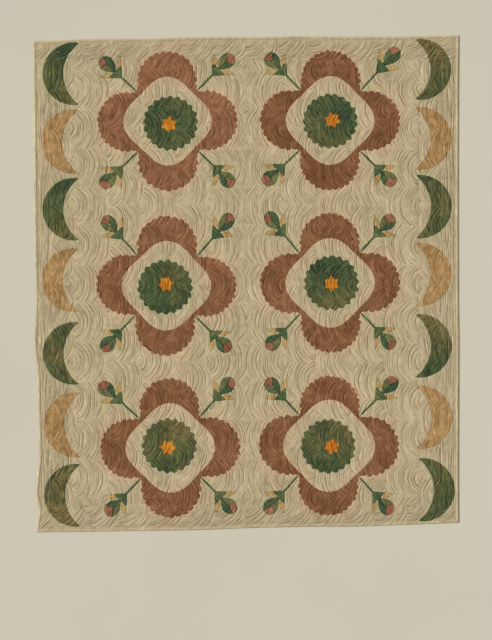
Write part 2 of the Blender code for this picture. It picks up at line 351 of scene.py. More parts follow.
def soft_noise(*ways):
    """Smooth noise from -1 to 1, from three arrays of places or numbers."""
    ways = np.broadcast_arrays(*ways)
    cells = [np.floor(way).astype(np.int64) for way in ways]
    shares = [way - cell for way, cell in zip(ways, cells)]
    shares = [share * share * (3 - 2 * share) for share in shares]
    total = 0
    for corner in itertools.product((0, 1), repeat=3):
        mixed = 0
        weight = 1
        for cell, share, step, factor in zip(cells, shares, corner, (73856093, 19349663, 83492791)):
            mixed = mixed ^ (cell + step) * factor
            weight = weight * (share if step else 1 - share)
        mixed = ((mixed ^ mixed >> 13) & 0xffffff) * 1274126177 & 0x7fffffff
        total = total + weight * ((mixed ^ mixed >> 15) / 0x3fffffff - 1)
    return total


FAN, SIDE, ROUND = range(3)
ROUND_NUMBERS = range(-8, 8)
FAN_COUNT = 2 * FAN_ROWS + 1


def pattern_parts():
    """Every part of the quilting: its kind, side faced, apex or centre, and how far it goes."""
    parts = []
    for facing in (1, -1):
        for column in range(FAN_COLUMNS):
            reach = FAN_REACH + (FAN_SAG if column == 0 else 0)
            apex_x = -facing * (FAN_REACH + column * FAN_STEP)
            shift = (column % 2) * FAN_HALF
            for row in range(-FAN_ROWS, FAN_ROWS + 1):
                parts.append((FAN, facing, apex_x, row * FAN_PITCH + shift, reach))
    parts += [(SIDE, facing, 0, 0, SIDE_REACH) for facing in (1, -1)]
    for centre_y in (TOP_CENTRES, BOTTOM_CENTRES):
        parts += [(ROUND, 1, n * ROUND_PITCH, centre_y, ROUND_REACH) for n in ROUND_NUMBERS]
    return np.array(parts, float).T


KIND, FACING, APEX_X, APEX_Y, REACH = pattern_parts()


def fans_at(points, column):
    """The fan of one column that lies level with each point."""
    side = points[:, 0] >= 0
    row = np.rint((points[:, 1] - (column % 2) * FAN_HALF) / FAN_PITCH)
    row = np.clip(row, -FAN_ROWS, FAN_ROWS).astype(int)
    return (side * FAN_COLUMNS + column) * FAN_COUNT + row + FAN_ROWS


def parts_at(points):
    """The part of the pattern that holds each point."""
    x, y = points.T
    parts = fans_at(points, 0)
    for column in range(1, FAN_COLUMNS):
        fans = fans_at(points, column)
        parts = np.where(read_pattern(points, fans)[0] <= FAN_REACH, fans, parts)
    first = 2 * FAN_COLUMNS * FAN_COUNT
    parts = np.where(abs(x) > SIDE_BAND, first + (x < 0), parts)
    number = np.clip(np.floor(x / ROUND_PITCH), ROUND_NUMBERS[0], ROUND_NUMBERS[-1]).astype(int)
    number += first + 2 - ROUND_NUMBERS[0]
    parts = np.where(y > TOP_BAND, number, parts)
    return np.where(y < BOTTOM_BAND, number + len(ROUND_NUMBERS), parts)


def read_pattern(points, parts):
    """How far out in its part each point lies, and how far along the line there."""
    across = points[:, 0] - APEX_X[parts]
    rise = points[:, 1] - APEX_Y[parts]
    kind = KIND[parts]
    forward = FACING[parts] * across
    reach = np.hypot(across, rise)
    low = np.clip(rise, -0.99 * FAN_CURVE, 0.99 * FAN_CURVE)
    near = np.hypot(forward, low)
    level = np.where(near > FAN_CURVE, forward + FAN_CURVE - np.sqrt(FAN_CURVE ** 2 - low ** 2), near)
    radius = np.clip(level, 1e-4, FAN_CURVE)
    along = radius * np.arcsin(np.clip(low / radius, -1, 1))
    level = np.select([kind == SIDE, kind == ROUND], [forward - SIDE_BAND, reach], level)
    along = np.select([kind == SIDE, kind == ROUND], [rise, reach * np.arctan2(across, -rise)], along)
    return level, along


def pattern_place(level, along, parts):
    """The places that far out in their parts, and that far along."""
    kind = KIND[parts]
    radius = np.where(kind == ROUND, np.maximum(level, 1e-4), np.clip(level, 1e-4, FAN_CURVE))
    turn = np.where(kind == SIDE, 0, along / radius)
    forward = np.where(kind == ROUND, radius * np.sin(turn), level - radius + radius * np.cos(turn))
    rise = np.where(kind == ROUND, -radius * np.cos(turn), radius * np.sin(turn))
    forward = np.where(kind == SIDE, SIDE_BAND + level, forward)
    rise = np.where(kind == SIDE, along, rise)
    x = APEX_X[parts] + FACING[parts] * forward
    return np.stack([x, APEX_Y[parts] + rise], 1)


def stray(points, parts, level, along):
    """How far a hand-sewn line strays outwards from the true one."""
    own = soft_noise(level * 40, along * 9, parts * 7.3)
    shared = soft_noise(points[:, 0] * 14, points[:, 1] * 14, 4.2)
    shaky = soft_noise(level * 60, along * 40, parts * 3.1)
    return OWN_STRAY * own + SHARED_STRAY * shared + SHAKY_STRAY * shaky


def pull(line, along, seed):
    """How hard a line is pulled in there."""
    uneven = PULL_SPREAD * soft_noise(line, along * 16, seed)
    return np.clip(PULL_MEAN + uneven, PULL_LEAST, PULL_MOST)


def read_cloth(points):
    """Height of the quilted ground, and depth in the furrow from 0 to 1."""
    parts = parts_at(points)
    level, along = read_pattern(points, parts)
    lines = (level - stray(points, parts, level, along)) / LINE_GAP
    off = abs(lines - np.rint(lines))
    furrow = pull(np.rint(lines), along, parts + 20.5) * np.exp(-(off / LINE_WIDTH) ** 2)
    crease = np.maximum(0, pull(np.floor(lines), along, parts + 40.7) - 0.3)
    furrow += CREASE_DEPTH * crease * np.exp(-((off - 0.5) / CREASE_WIDTH) ** 2)
    behind = np.clip((FAN_REACH - level) / (FAN_STEP + FAN_SAG / 2), 0, 1)
    puff = np.sin(math.pi * behind) * (1 - 0.4 * (along / FAN_CURVE) ** 2)
    puff = np.where(KIND[parts] == FAN, puff, 0.5)
    height = LOW + (HIGH - LOW) * puff - FURROW_DEPTH * furrow
    return height, np.minimum(1, furrow)


def sewn_rows():
    """Points along every row of the quilting, and which of them follow on from the last."""
    rows = []
    for part, (kind, reach) in enumerate(zip(KIND, REACH)):
        for line in range(math.ceil(reach / LINE_GAP) + 1):
            for share in LINE_ROWS:
                level = (line + share) * LINE_GAP
                radius = max(1e-4, min(level, FAN_CURVE))
                half = radius * math.asin(min(1, FAN_HALF / radius))
                low, high = {FAN: (-half, half), SIDE: (BOTTOM_BAND, TOP_BAND),
                             ROUND: (0, level * math.pi / 2)}[kind]
                step_length = min(ALONG_STEP, BEND_STEP + level * BEND_SHARE)
                steps = max(1, round((high - low) / step_length))
                for step in range(steps + 1):
                    rows.append((part, level, low + (high - low) * step / steps, step > 0))
    parts, target, along, joined = np.array(rows).T
    parts = parts.astype(int)
    level = target
    for _ in range(STRAY_PASSES):
        points = pattern_place(level, along, parts)
        level = target + stray(points, parts, level, along)
    points = pattern_place(level, along, parts)
    kept = parts_at(points) == parts
    cells = np.rint(points / CROWDED).astype(np.int64)
    cells = cells[:, 0] * 100000 + cells[:, 1] + np.where(kept, 0, 10 ** 12)
    first = np.zeros(len(cells), bool)
    first[np.unique(cells, return_index=True)[1]] = True
    kept &= first
    joined = (joined > 0) & np.roll(kept, 1)
    return points[kept], joined[kept]


ROW_POINTS, ROW_FOLLOWS = sewn_rows()


# --- Cloth meshes ----------------------------------------------------------------------------

LAYERS = ("furrow", "rim", "fade", "rose_dye", "green_dye")


def cut_cloth(patch, rings, keep, loose=()):
    """Flat cloth as places and triangles, with the rings and the kept rows as edges."""
    places = list(loose)
    edges = []
    for loop in (*patch.loops, *rings):
        first = len(places)
        places += list(loop)
        edges += [(first + i, first + (i + 1) % len(loop)) for i in range(len(loop))]
    numbers = np.cumsum(keep) - 1 + len(places)
    places += list(ROW_POINTS[keep])
    joined = keep[1:] & keep[:-1] & ROW_FOLLOWS[1:]
    edges += [(int(numbers[i]), int(numbers[i + 1])) for i in np.flatnonzero(joined)]
    outer = [list(range(len(loose), len(loose) + len(patch.loops[0])))]
    made = delaunay_2d_cdt([Vector(place) for place in places], edges, outer, 1, MEET)
    flat = np.array([place[:] for place in made[0]])
    middles = flat[np.array(made[2])].mean(1)
    kept = np.ones(len(middles), bool)
    for opening in patch.loops[1:]:
        kept &= ~within(middles, opening)
    return flat, [face for face, wanted in zip(made[2], kept) if wanted]


def cloth_mesh(flat, faces, readings):
    """An open bmesh of cut cloth, lying as read, with its readings as layers."""
    bm = bmesh.new()
    layers = [bm.verts.layers.float.new(name) for name in LAYERS]
    for (x, y), (height, *values) in zip(flat, readings):
        vert = bm.verts.new((x, y, height))
        for layer, value in zip(layers, values):
            vert[layer] = value
    bm.verts.ensure_lookup_table()
    for face in faces:
        bm.faces.new([bm.verts[i] for i in face])
    unused = [vert for vert in bm.verts if not vert.link_faces]
    bmesh.ops.delete(bm, geom=unused, context="VERTS")
    return bm


def lay_pattern(mesh):
    """Store where each corner of a mesh lies in the quilting, each face in one part of it."""
    points = np.empty(len(mesh.vertices) * 3)
    mesh.vertices.foreach_get("co", points)
    corners = np.empty(len(mesh.loops), int)
    mesh.loops.foreach_get("vertex_index", corners)
    points = points.reshape(-1, 3)[corners, :2]
    sizes = np.empty(len(mesh.polygons), int)
    mesh.polygons.foreach_get("loop_total", sizes)
    faces = np.repeat(np.arange(len(sizes)), sizes)
    middles = np.stack([np.bincount(faces, points[:, axis]) / sizes for axis in (0, 1)], 1)
    parts = parts_at(middles)[faces]
    level, along = read_pattern(points, parts)
    line = (level - stray(points, parts, level, along)) / LINE_GAP
    for name, values in (("level", level), ("along", along), ("line", line)):
        made = mesh.attributes.new(name, "FLOAT", "CORNER")
        made.data.foreach_set("value", values)


def finish_piece(name, bm, material):
    """Turn a finished bmesh into a smooth-shaded piece that rides on the frame."""
    mesh = bpy.data.meshes.new(name)
    bm.to_mesh(mesh)
    bm.free()
    lay_pattern(mesh)
    mesh.shade_smooth()
    mesh.set_sharp_from_angle(angle=CRISP)
    mesh.materials.append(material)
    piece = bpy.data.objects.new(name, mesh)
    bpy.context.scene.collection.objects.link(piece)
    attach(piece, "root")
    return piece


def ground_readings(flat, patches):
    """What the ground's points hold: height and layers, with dye that has crept from patches."""
    seam = edge_distance(flat, BOUND_SEAM)
    dyes = {"rose": np.zeros(len(flat)), "green": np.zeros(len(flat))}
    under = np.zeros(len(flat))
    for patch, dye in patches:
        close = np.flatnonzero(patch.near(flat, DYE_REACH * DYE_ENDS))
        rim = patch.rim(flat[close])
        inner = patch.covers(flat[close])
        under[close] = np.maximum(under[close], np.where(inner, rim, 0))
        if dye:
            away = np.where(inner, 0, rim) / DYE_REACH
            crept = 0.7 * np.exp(-away ** 2) + 0.3 * np.exp(-away / 5)
            dyes[dye][close] = np.maximum(dyes[dye][close], crept)
    height, furrow = read_cloth(flat)
    # The sewn line near the edge sinks the ground and carries painted shade through the furrow layer.
    line = np.exp(-((seam - EDGE_LINE) / EDGE_LINE_WIDTH) ** 2)
    furrow = np.maximum(furrow * np.minimum(1, seam / EDGE_LINE), 0.5 * line)
    roll = np.sin(np.minimum(1, seam / EDGE_ROLL) * math.pi / 2)
    height = SEAM_LOW + (height - SEAM_LOW) * roll - 0.6 * FURROW_DEPTH * line
    height -= SUNK * np.minimum(1, under / SUNK_WITHIN)
    height = np.where(under > HIDDEN_IN * 0.9, HIDDEN_HEIGHT, height)
    plain = np.zeros(len(flat))
    return np.stack([height, furrow, seam, plain, dyes["rose"], dyes["green"]], 1)


def make_ground(patches, material):
    """Quilted ground: cotton over wadding, flat beneath."""
    edge = Patch(bound_ring(1.02, 3))
    hidden = np.zeros(len(ROW_POINTS), bool)
    below = []
    rings = [bound_ring(1 + (EDGE_LINE + shift) / BOUND_WIDTH, 3)
             for shift in (-EDGE_CLEAR, 0, EDGE_CLEAR)]
    for patch, _ in patches:
        close = np.flatnonzero(patch.near(ROW_POINTS))
        inner = patch.covers(ROW_POINTS[close]) & (patch.rim(ROW_POINTS[close]) > HIDDEN_IN)
        hidden[close] |= inner
        rings += patch.loops
        rings += [moved_in(patch.loops[0], RING_GAP)[::2]]
        rings += [moved_in(loop, -RING_GAP)[::2] for loop in patch.loops[1:]]
        (left, foot), (right, top) = patch.low, patch.high
        grid = np.mgrid[left:right:HIDDEN_GRID, foot:top:HIDDEN_GRID].reshape(2, -1).T
        grid = grid[patch.covers(grid)]
        below += list(grid[patch.rim(grid) > HIDDEN_IN * 0.95])
    keep = edge.covers(ROW_POINTS) & ~hidden & (edge.rim(ROW_POINTS) > EDGE_CLEAR)
    flat, faces = cut_cloth(edge, rings, keep, below)
    bm = cloth_mesh(flat, faces, ground_readings(flat, patches))
    rim = [e for e in bm.edges if e.is_boundary]
    walls = bmesh.ops.extrude_edge_only(bm, edges=rim)["geom"]
    for vert in (part for part in walls if isinstance(part, bmesh.types.BMVert)):
        vert.co.z = 0
    base = [e for e in bm.edges if e.is_boundary]
    bmesh.ops.holes_fill(bm, edges=base, sides=len(base))
    bmesh.ops.recalc_face_normals(bm, faces=bm.faces[:])
    piece = finish_piece("quilted_ground", bm, material)
    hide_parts("quilt_body")


def patch_mesh(patch, raised, fade):
    """Closed bmesh of sewn-on cloth that follows the quilting, its edges turned under."""
    rings = []
    for loop in patch.loops:
        inward = 1 if loop is patch.loops[0] else -1
        rings += [moved_in(loop, inward * TURNED_EDGE * share) for share in TURNED_RINGS]
    close = patch.near(ROW_POINTS)
    keep = np.zeros(len(ROW_POINTS), bool)
    keep[close] = patch.covers(ROW_POINTS[close])
    keep[keep] = patch.rim(ROW_POINTS[keep]) > TURNED_EDGE * 1.4
    flat, faces = cut_cloth(patch, [ring for ring in rings if len(ring) > 3], keep)
    rim = patch.rim(flat)
    height, furrow = read_cloth(flat)
    plain = np.zeros(len(flat))
    slope = (flat - (patch.low + patch.high) / 2) / np.ptp(patch.loops[0], axis=0).max()
    whole, right, top, foot = (*fade, 0)[:4]
    faded = whole + slope @ np.array((right, top))
    faded += foot * np.clip((FOOT_FROM - slope[:, 1]) / FOOT_BLEND, 0, 1)
    readings = np.stack([height + raised + REST_GAP, furrow, rim, faded, plain, plain], 1)
    bm = cloth_mesh(flat, faces, readings)
    layer = bm.verts.layers.float["rim"]
    top = bmesh.ops.extrude_face_region(bm, geom=bm.faces[:], use_keep_orig=True)["geom"]
    for vert in (part for part in top if isinstance(part, bmesh.types.BMVert)):
        share = min(1, vert[layer] / TURNED_EDGE)
        roll = math.sqrt(1 - (1 - share) ** 2)
        vert.co.z += EDGE_THICK + (CLOTH - EDGE_THICK) * roll
    bmesh.ops.recalc_face_normals(bm, faces=bm.faces[:])
    return bm


def sew_on(name, patches, slot, material, node=None, raised=0.0, fade=None):
    """One or more patches of one cloth, sewn to the ground as one piece."""
    chance = random.Random(name)
    fade = fade or (chance.uniform(-0.12, 0.12), chance.uniform(-0.3, 0.3), chance.uniform(-0.3, 0.3))
    whole = bmesh.new()
    for patch in patches:
        bm = patch_mesh(patch, raised, fade)
        step = bpy.data.meshes.new("step")
        bm.to_mesh(step)
        bm.free()
        whole.from_mesh(step)
        bpy.data.meshes.remove(step)
    piece = finish_piece(name, whole, material)
    if node:
        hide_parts(node)
    sizes = [patch.cut_size() for patch in patches]
    area = sum(patch.area() for patch in patches)


# --- Materials -------------------------------------------------------------------------------

THREAD_RATE = 5200.0            # turns of the weave in a metre, in radians
STITCH_RATE = 1750.0            # turns of the stitches in a metre, in radians
THREAD_WIDTH = 0.034            # of a stitch, in gaps between lines
SLUB_SCALE = 700.0
BUMP_DEPTH = 0.0006
PAINTED_SHADE_TONE = (134, 102, 72)           # brown that painted shade in the furrows darkens the cloth towards
CLOUDY = 0.45                   # how much the tone of every dye changes in broad clouds


def linear(colour):
    """Scene colour of red, green and blue out of 255."""
    shares = [channel / 255 for channel in colour]
    return (*(s / 12.92 if s <= 0.04045 else ((s + 0.055) / 1.055) ** 2.4 for s in shares), 1)


def add(tree, kind, inputs=(), **settings):
    """Add a shader node with its settings, and with its inputs as values or links."""
    made = tree.nodes.new("ShaderNode" + kind)
    for name, value in settings.items():
        setattr(made, name, value)
    for name, value in dict(inputs).items():
        if isinstance(value, bpy.types.NodeSocket):
            tree.links.new(value, made.inputs[name])
        else:
            made.inputs[name].default_value = value
    return made


def reckon(tree, way, *values):
    """One step of arithmetic."""
    return add(tree, "Math", enumerate(values), operation=way).outputs[0]


def spread(tree, value, low, high, least=0.0, most=1.0):
    """A value carried from one range to another."""
    inputs = {"Value": value, "From Min": low, "From Max": high, "To Min": least, "To Max": most}
    return add(tree, "MapRange", inputs).outputs[0]


def tinted(tree, share, under, over, way="MIX"):
    """One colour laid over another."""
    inputs = {0: share, 6: under, 7: over}
    return add(tree, "Mix", inputs, data_type="RGBA", blend_type=way).outputs[2]


def tones(tree, share, *colours):
    """A run of colours from one tone of a dye to another."""
    made = add(tree, "ValToRGB", {0: share})
    stops = made.color_ramp.elements
    for number in range(1, len(colours) - 1):
        stops.new(number / (len(colours) - 1))
    for stop, colour in zip(stops, colours):
        stop.color = linear(colour)
    return made.outputs[0]


def layer(tree, name):
    """A reading stored on the cloth."""
    return add(tree, "Attribute", attribute_name=name).outputs["Fac"]


def cloud(tree, place, scale, detail=2.0, rough=0.5):
    """Soft noise from 0 to 1."""
    inputs = {"Vector": place, "Scale": scale, "Detail": detail, "Roughness": rough}
    return spread(tree, add(tree, "TexNoise", inputs).outputs[0], 0.28, 0.72)


def vector(tree, x, y, z=0.0):
    """Three numbers as one place."""
    return add(tree, "CombineXYZ", {0: x, 1: y, 2: z}).outputs[0]


def new_group(name, inputs, outputs):
    """An empty node group, what it is given, and the node that gathers what it gives."""
    group = bpy.data.node_groups.new(name, "ShaderNodeTree")
    for socket in inputs:
        kind = "NodeSocketVector" if socket == "Place" else "NodeSocketFloat"
        group.interface.new_socket(socket, in_out="INPUT", socket_type=kind)
    for socket in outputs:
        group.interface.new_socket(socket, in_out="OUTPUT", socket_type="NodeSocketFloat")
    return group, group.nodes.new("NodeGroupInput").outputs, group.nodes.new("NodeGroupOutput")


def weave_group():
    """Plain weave: threads both ways, with thicker ones here and there."""
    group, given, ends = new_group("cotton_weave", ("Place", "Thread Rate", "Slub Scale"),
                                   ("Threads", "Slubs"))
    split = add(group, "SeparateXYZ", {0: given["Place"]})
    x, y = split.outputs["X"], split.outputs["Y"]
    waves = []
    slubs = []
    for along, across in ((x, y), (y, x)):
        drift = cloud(group, vector(group, along, across), 40.0)
        drift = reckon(group, "MULTIPLY", drift, 9.0)
        turn = reckon(group, "MULTIPLY_ADD", across, given["Thread Rate"], drift)
        waves.append(reckon(group, "SINE", turn))
        stretched = vector(group, reckon(group, "MULTIPLY", along, 0.07), across)
        slubs.append(cloud(group, stretched, given["Slub Scale"], 1.0))
    group.links.new(reckon(group, "MULTIPLY", *waves), ends.inputs["Threads"])
    group.links.new(reckon(group, "MULTIPLY", reckon(group, "ADD", *slubs), 0.5),
                    ends.inputs["Slubs"])
    return group


def sewing_group():
    """What quilting does to cloth: where painted shade lies in its furrows and a painted highlight
    on the ridges beside them, fine creases that run with them, and stitches.

    off is how far a place lies from the nearest sewn line, in gaps between lines.
    """
    group, given, ends = new_group("sewn_lines", ("Pull", "Along", "Level", "Line"),
                                   ("Furrow Shade", "Ridge Highlight", "Creases", "Streaks", "Stitches"))
    along, level = given["Along"], given["Level"]
    # Painted shade in each sewn line and in the slack crease between two lines, darker where a line is
    # pulled in.
    furrow = reckon(group, "MAXIMUM", given["Pull"], 0.0)
    off = reckon(group, "PINGPONG", given["Line"], 0.5)
    sewn = spread(group, off, 0.02, 0.16, 1.0, 0.0)
    slack = spread(group, off, 0.38, 0.49, 0.0, 1.0)
    shadow = reckon(group, "MAXIMUM", sewn, slack)
    shadow = reckon(group, "MULTIPLY_ADD", shadow, 0.75, 0.25)
    group.links.new(reckon(group, "MULTIPLY", furrow, shadow), ends.inputs["Furrow Shade"])
    # A painted highlight on the cloth rising beside each sewn line, brighter where the line is pulled
    # in.
    rising = spread(group, off, 0.13, 0.22)
    ridge = reckon(group, "MULTIPLY", rising, spread(group, off, 0.22, 0.36, 1.0, 0.0))
    pulled = reckon(group, "MINIMUM", reckon(group, "MULTIPLY", furrow, 2.5), 1.0)
    group.links.new(reckon(group, "MULTIPLY", ridge, pulled), ends.inputs["Ridge Highlight"])
    for name, long, scale in (("Creases", 0.12, 260.0), ("Streaks", 0.09, 120.0)):
        place = vector(group, level, reckon(group, "MULTIPLY", along, long), 0.37)
        group.links.new(cloud(group, place, scale, 3.0, 0.55), ends.inputs[name])
    beat = reckon(group, "SINE", reckon(group, "MULTIPLY", along, STITCH_RATE))
    thread = spread(group, off, 0.0, THREAD_WIDTH, 1.0, 0.0)
    dashes = reckon(group, "MULTIPLY", spread(group, beat, -0.5, 0.9), thread)
    group.links.new(dashes, ends.inputs["Stitches"])
    return group


def dye_group():
    """Old hand dyeing: broad clouds, blotches and flecks."""
    group, given, ends = new_group("old_dye", ("Place",), ("Clouds", "Blotches", "Flecks"))
    for name, scale, detail in (("Clouds", 7.0, 3.0), ("Blotches", 38.0, 3.0), ("Flecks", 330.0, 2.0)):
        group.links.new(cloud(group, given["Place"], scale, detail), ends.inputs[name])
    return group


WEAVE = weave_group()
SEWING = sewing_group()
DYE = dye_group()


def cloth_material(name, dyes, streaky=0.30, lively=1.0, shade=0.85, blotchy=0.45, crept=(),
                   hem=0.0, edge_tone=False):
    """Old quilted cotton in one run of dyes.

    streaky and blotchy say how much its tone changes along the sewn lines and in patches, lively
    how strongly the painted light and shade on its creases and its streaky tone differ, shade how
    dark the painted shade in its furrows is, crept which dyes of its neighbours it has taken, and
    hem how dark the painted shade on its turned edge is.
    """
    made = bpy.data.materials.new(name)
    made.use_nodes = True
    tree = made.node_tree
    shader = tree.nodes["Principled BSDF"]
    place = add(tree, "TexCoord").outputs["Object"]
    woven = {"Place": place, "Thread Rate": THREAD_RATE, "Slub Scale": SLUB_SCALE}
    weave = add(tree, "Group", woven, node_tree=WEAVE)
    lines = {"Pull": layer(tree, "furrow"), "Along": layer(tree, "along"),
             "Level": layer(tree, "level"), "Line": layer(tree, "line")}
    sewn = add(tree, "Group", lines, node_tree=SEWING)
    dye = add(tree, "Group", {"Place": place}, node_tree=DYE)
    share = reckon(tree, "MULTIPLY_ADD", dye.outputs["Clouds"], CLOUDY, layer(tree, "fade"))
    share = reckon(tree, "MULTIPLY_ADD", dye.outputs["Blotches"], blotchy, share)
    share = reckon(tree, "MULTIPLY_ADD", sewn.outputs["Streaks"], streaky, share)
    share = reckon(tree, "SUBTRACT", share, (CLOUDY + blotchy + streaky - 1) / 2)
    colour = tones(tree, share, *dyes)
    for dyed, tone, most in crept:
        spots = reckon(tree, "MULTIPLY_ADD", dye.outputs["Blotches"], 0.7, 0.5)
        colour = tinted(tree, reckon(tree, "MULTIPLY", layer(tree, dyed),
                                     reckon(tree, "MULTIPLY", spots, most)), colour, linear(tone))
    # Painted shade: the furrows darkened towards a brown tone.
    painted_shade = reckon(tree, "MULTIPLY", sewn.outputs["Furrow Shade"], shade)
    colour = tinted(tree, painted_shade, colour, linear(PAINTED_SHADE_TONE), "MULTIPLY")
    # Painted light and shade: lighter and darker strips on the fine creases, a painted highlight on
    # the ridge beside each sewn line and painted shade on a turned edge; with them streaky tone, thick
    # threads, flecks and, on the ground, a tone darker towards its edge.
    lights = [spread(tree, sewn.outputs["Creases"], 0.0, 1.0, 1 - 0.2 * lively, 1 + 0.22 * lively),
              spread(tree, sewn.outputs["Streaks"], 0.0, 1.0, 1 - 0.12 * lively, 1 + 0.12 * lively),
              reckon(tree, "MULTIPLY_ADD", sewn.outputs["Ridge Highlight"], 0.22, 1.0),
              spread(tree, weave.outputs["Slubs"], 0.0, 1.0, 0.95, 1.05),
              spread(tree, dye.outputs["Flecks"], 0.0, 1.0, 0.95, 1.05)]
    if edge_tone:
        lights.append(spread(tree, layer(tree, "rim"), 0.0, 0.25, 0.95, 1.025))
    # Painted shade where the turned edge rolls down.
    if hem:
        lights.append(spread(tree, layer(tree, "rim"), 0.0006, 0.0022, 1.0 - hem, 1.0))
    light = lights[0]
    for other in lights[1:]:
        light = reckon(tree, "MULTIPLY", light, other)
    grey = add(tree, "CombineColor", {0: light, 1: light, 2: light}).outputs[0]
    colour = tinted(tree, 1.0, colour, grey, "MULTIPLY")
    tree.links.new(colour, shader.inputs["Base Color"])
    rough = spread(tree, weave.outputs["Slubs"], 0.0, 1.0, 0.96, 0.84)
    tree.links.new(rough, shader.inputs["Roughness"])
    height = sewn.outputs["Creases"]
    for raised, share in ((weave.outputs["Threads"], 0.12), (weave.outputs["Slubs"], 0.25),
                          (sewn.outputs["Stitches"], 0.5)):
        height = reckon(tree, "MULTIPLY_ADD", raised, share, height)
    bump = add(tree, "Bump", {"Height": height, "Distance": BUMP_DEPTH, "Strength": 0.8})
    tree.links.new(bump.outputs["Normal"], shader.inputs["Normal"])
    shader.inputs["Sheen Weight"].default_value = 0.05
    shader.inputs["Sheen Roughness"].default_value = 0.6
    shader.inputs["Specular IOR Level"].default_value = 0.12
    return made


CREAM = cloth_material("old_cream_cotton", ((160, 143, 108), (183, 166, 130), (190, 171, 136),
                                            (206, 191, 155)), edge_tone=True,
                       crept=(("rose_dye", (200, 166, 130), 0.9), ("green_dye", (176, 174, 132), 0.7)))
BOUND = cloth_material("binding_cotton", ((168, 152, 116), (186, 170, 132), (200, 184, 146)))
ROSE = cloth_material("rose_cotton", ((106, 68, 38), (130, 88, 56), (156, 109, 78)),
                      lively=1.65, hem=0.3)
GREEN = cloth_material("green_cotton", ((50, 69, 51), (63, 79, 50), (80, 89, 54), (98, 96, 58),
                                         (119, 105, 63)), streaky=0.06, blotchy=0.34, lively=3.3,
                       shade=1.05, hem=0.35)
TAN = cloth_material("tan_cotton", ((152, 116, 68), (170, 134, 86), (188, 152, 104)),
                     blotchy=0.8, lively=1.5, hem=0.3)
ORANGE = cloth_material("orange_cotton", ((184, 84, 20), (196, 124, 32), (210, 156, 52)),
                        streaky=0.5, lively=1.3, hem=0.25)
SPRIG = cloth_material("sprig_cotton", ((46, 74, 54), (78, 94, 58), (116, 112, 68)),
                       streaky=0.4, lively=1.8, hem=0.55)
LEAF = cloth_material("leaf_cotton", ((158, 130, 74), (184, 150, 92), (196, 154, 112)),
                      blotchy=0.8, hem=0.4)
PINK = cloth_material("pink_cotton", ((120, 74, 52), (148, 98, 72), (172, 120, 92)),
                      lively=1.5, hem=0.6)


def paint_material(name, colour):
    """Plain matt paint, with the least unevenness."""
    made = bpy.data.materials.new(name)
    made.use_nodes = True
    tree = made.node_tree
    shader = tree.nodes["Principled BSDF"]
    place = add(tree, "TexCoord").outputs["Object"]
    share = cloud(tree, place, 1.1, 4.0)
    edge = [channel - 4 for channel in colour]
    tree.links.new(tones(tree, share, edge, colour), shader.inputs["Base Color"])
    shader.inputs["Roughness"].default_value = 0.95
    shader.inputs["Specular IOR Level"].default_value = 0.1
    return made


# --- Pieces ----------------------------------------------------------------------------------

SPRIG_POINTS = 27
LEAF_FOLD = 0.55                # how far out on a leaf's lower side the calyx reaches
TIP_ARCS = ((11, 14), (12, 15), (13, 16), (11, 15), (12, 16))   # first and last point of a tip


def sprig_patches(node, middle):
    """Stem, calyx, leaves, cup and tip of one bud sprig, cut from its CAD outline.

    The outline's points run from the stem's foot: 0 to 2 up one side of the stem, 3 to 7 round a
    leaf, 8 to 19 round the bud, 20 to 24 round the other leaf, 25 and 26 down the stem.
    """
    loop = plate_loops(node)[0]
    p = np.roll(loop, -int(np.argmin(np.linalg.norm(loop - middle, axis=1))), 0)
    assert len(p) == SPRIG_POINTS, (node, len(p))
    left = p[2] + LEAF_FOLD * (p[3] - p[2])
    right = p[25] + LEAF_FOLD * (p[24] - p[25])
    base = (p[8] + p[19]) / 2
    heart = base * 0.46 + (p[13] + p[14]) / 2 * 0.54
    first, last = random.Random(node).choice(TIP_ARCS)
    cuts = {
        "stem": [[p[0], p[1], p[2], p[25], p[26]]],
        "calyx": [[p[2], left, p[7], p[8], p[19], p[20], right, p[25]]],
        "leaves": [[left, *p[3:8]], [*p[20:25], right]],
        "cup_dark": [[base, *p[8:first + 1], heart]],
        "cup_light": [[base, heart, *p[last:20]]],
        "tip": [[heart, *p[first:last + 1]]],
    }
    return {part: [Patch(rounded(np.array(cut))) for cut in found] for part, found in cuts.items()}


SPRIG_PARTS = {                 # cloth, slot and fade of each part
    "stem": ("sprig_cloth", SPRIG, (0.1, 0, 0)),
    "calyx": ("sprig_cloth", SPRIG, (0.05, 0, 0)),
    "leaves": ("tan_cloth", LEAF, (0, 0, 0)),
    "cup_dark": ("sprig_cloth", SPRIG, (-0.15, 0, 0)),
    "cup_light": ("sprig_cloth", SPRIG, (0.3, 0, 0)),
    "tip": ("rose_cloth", PINK, (0, 0, 0)),
}

# How much lighter than its dye a cloth has gone: in all, towards the right and the top, and
# for one worn crescent in its foot.
ROSE_FADES = ((0.18, 0.1, 0.1), (-0.1, 0, 0), (0.05, 0.1, 0), (0, 0, 0), (0, 0, 0), (0, 0, 0.1))
SUN_FADES = ((-0.04, 0.3, -0.1), (-0.06, -0.2, -0.2), (-0.05, 0.1, 0.3), (-0.05, 0, -0.5),
             (0.15, 0.2, 0.5), (0.08, 0.2, 0.5))
MOON_FADES = {
    "crescent_left_1": (-0.03, 0, -0.5), "crescent_left_3": (0.06, 0, -0.5),
    "crescent_left_5": (0.16, 0, 0), "crescent_left_7": (0.22, 0, -0.1, 0.32),
    "crescent_right_1": (0.3, 0, 0.4), "crescent_right_3": (0.1, 0, -0.1),
    "crescent_right_5": (0.18, 0, 0.6), "crescent_right_7": (0.02, 0, 0.1),
}

